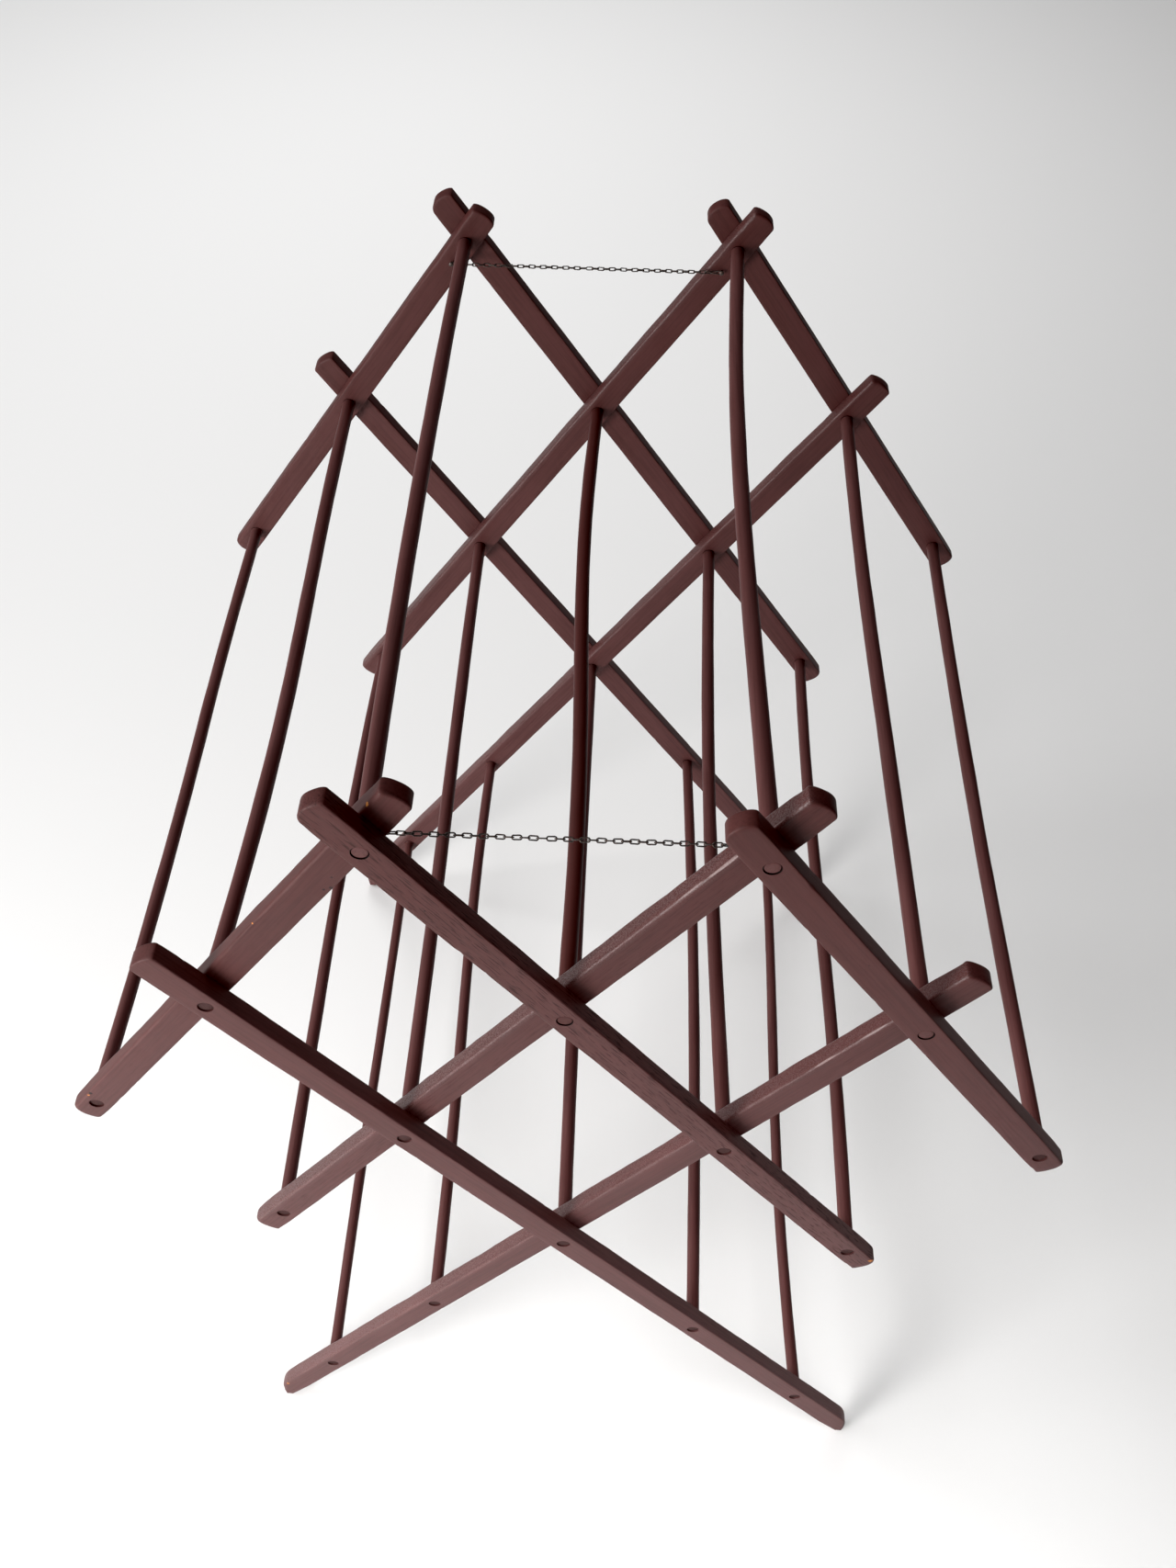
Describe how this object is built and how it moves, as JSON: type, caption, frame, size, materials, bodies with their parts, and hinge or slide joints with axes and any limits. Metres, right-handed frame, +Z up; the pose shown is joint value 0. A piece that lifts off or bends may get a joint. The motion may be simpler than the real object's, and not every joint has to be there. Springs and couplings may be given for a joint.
{
  "type": "folding clothes drying rack",
  "caption": "Free-standing wooden rack for drying clothes: crossed slats in two side lattices carry round dowels, and it folds flat.",
  "frame": {"origin": "on the floor, under the middle of the open rack", "axes": "+X to the right along the side lattices, +Y to the rear along the dowels, +Z up"},
  "size_m": [0.815, 0.77, 1.0584],
  "materials": {
    "slat_paint": "worn semi-gloss maroon-brown paint over wood",
    "dowel_paint": "the same paint, a little darker and more worn",
    "chain_wire": "dark tarnished wire",
    "nail_iron": "dull iron"
  },
  "bodies": {
    "outer_leg_pair": {"slat_outer_leg_front": "slat_paint", "slat_outer_leg_rear": "slat_paint", "dowel_upper_left": "dowel_paint", "dowel_lower_left": "dowel_paint", "dowel_lowest_middle": "dowel_paint", "dowel_leg_right_upper": "dowel_paint", "dowel_leg_right_lower": "dowel_paint"},
    "inner_leg_pair": {"slat_inner_leg_front": "slat_paint", "slat_inner_leg_rear": "slat_paint", "dowel_leg_left_upper": "dowel_paint", "dowel_leg_left_lower": "dowel_paint"},
    "inner_long_pair": {"slat_inner_long_front": "slat_paint", "slat_inner_long_rear": "slat_paint", "dowel_tail_left": "dowel_paint", "nail_front_right": "nail_iron", "nail_rear_right": "nail_iron"},
    "outer_long_pair": {"slat_outer_long_front": "slat_paint", "slat_outer_long_rear": "slat_paint", "dowel_peak_left": "dowel_paint", "dowel_upper_middle": "dowel_paint", "dowel_lower_right": "dowel_paint", "dowel_tail_right": "dowel_paint"},
    "inner_short_pair": {"slat_inner_short_front": "slat_paint", "slat_inner_short_rear": "slat_paint", "dowel_wing_left": "dowel_paint", "nail_front_left": "nail_iron", "nail_rear_left": "nail_iron"},
    "outer_short_pair": {"slat_outer_short_front": "slat_paint", "slat_outer_short_rear": "slat_paint", "dowel_peak_right": "dowel_paint", "dowel_upper_right": "dowel_paint", "dowel_wing_right": "dowel_paint"},
    "chain_front_left": {"chain_front_left": "chain_wire"},
    "chain_front_right": {"chain_front_right": "chain_wire"},
    "chain_rear_left": {"chain_rear_left": "chain_wire"},
    "chain_rear_right": {"chain_rear_right": "chain_wire"}
  },
  "joints": [
    {"name": "fold", "type": "hinge", "parent": "outer_leg_pair", "child": "inner_leg_pair", "pos_m": [0, 0, 0.45791], "axis": [0, -1, 0], "range_deg": [0, 63.3]},
    {"name": "inner_long_turn", "type": "hinge", "parent": "outer_leg_pair", "child": "inner_long_pair", "pos_m": [-0.12906, 0, 0.64221], "axis": [0, -1, 0], "range_deg": [0, 63.3]},
    {"name": "inner_short_turn", "type": "hinge", "parent": "outer_leg_pair", "child": "inner_short_pair", "pos_m": [-0.25811, 0, 0.82652], "axis": [0, -1, 0], "range_deg": [0, 63.3]},
    {"name": "outer_long_turn", "type": "hinge", "parent": "inner_long_pair", "child": "outer_long_pair", "pos_m": [0, 0, 0.82652], "axis": [0, 1, 0], "range_deg": [0, 63.3]},
    {"name": "outer_short_turn", "type": "hinge", "parent": "inner_leg_pair", "child": "outer_short_pair", "pos_m": [0.25811, 0, 0.82652], "axis": [0, 1, 0], "range_deg": [0, 63.3]},
    {"name": "chain_front_left_drop", "type": "hinge", "parent": "inner_short_pair", "child": "chain_front_left", "pos_m": [-0.14282, -0.3512, 0.99117], "axis": [0, 1, 0], "range_deg": [0, 115.9]},
    {"name": "chain_front_right_drop", "type": "hinge", "parent": "inner_long_pair", "child": "chain_front_right", "pos_m": [0.11529, -0.3512, 0.99117], "axis": [0, -1, 0], "range_deg": [0, 52.6]},
    {"name": "chain_rear_left_drop", "type": "hinge", "parent": "inner_short_pair", "child": "chain_rear_left", "pos_m": [-0.14282, 0.3512, 0.99117], "axis": [0, 1, 0], "range_deg": [0, 115.9]},
    {"name": "chain_rear_right_drop", "type": "hinge", "parent": "inner_long_pair", "child": "chain_rear_right", "pos_m": [0.11529, 0.3512, 0.99117], "axis": [0, -1, 0], "range_deg": [0, 52.6]}
  ],
  "couplings": [
    {"joint": "inner_long_turn", "follows": "fold", "ratio": 1},
    {"joint": "inner_short_turn", "follows": "fold", "ratio": 1},
    {"joint": "outer_long_turn", "follows": "fold", "ratio": 1},
    {"joint": "outer_short_turn", "follows": "fold", "ratio": 1},
    {"joint": "chain_front_left_drop", "follows": "fold", "ratio": 1.8294},
    {"joint": "chain_front_right_drop", "follows": "fold", "ratio": 0.8294},
    {"joint": "chain_rear_left_drop", "follows": "fold", "ratio": 1.8294},
    {"joint": "chain_rear_right_drop", "follows": "fold", "ratio": 0.8294}
  ]
}
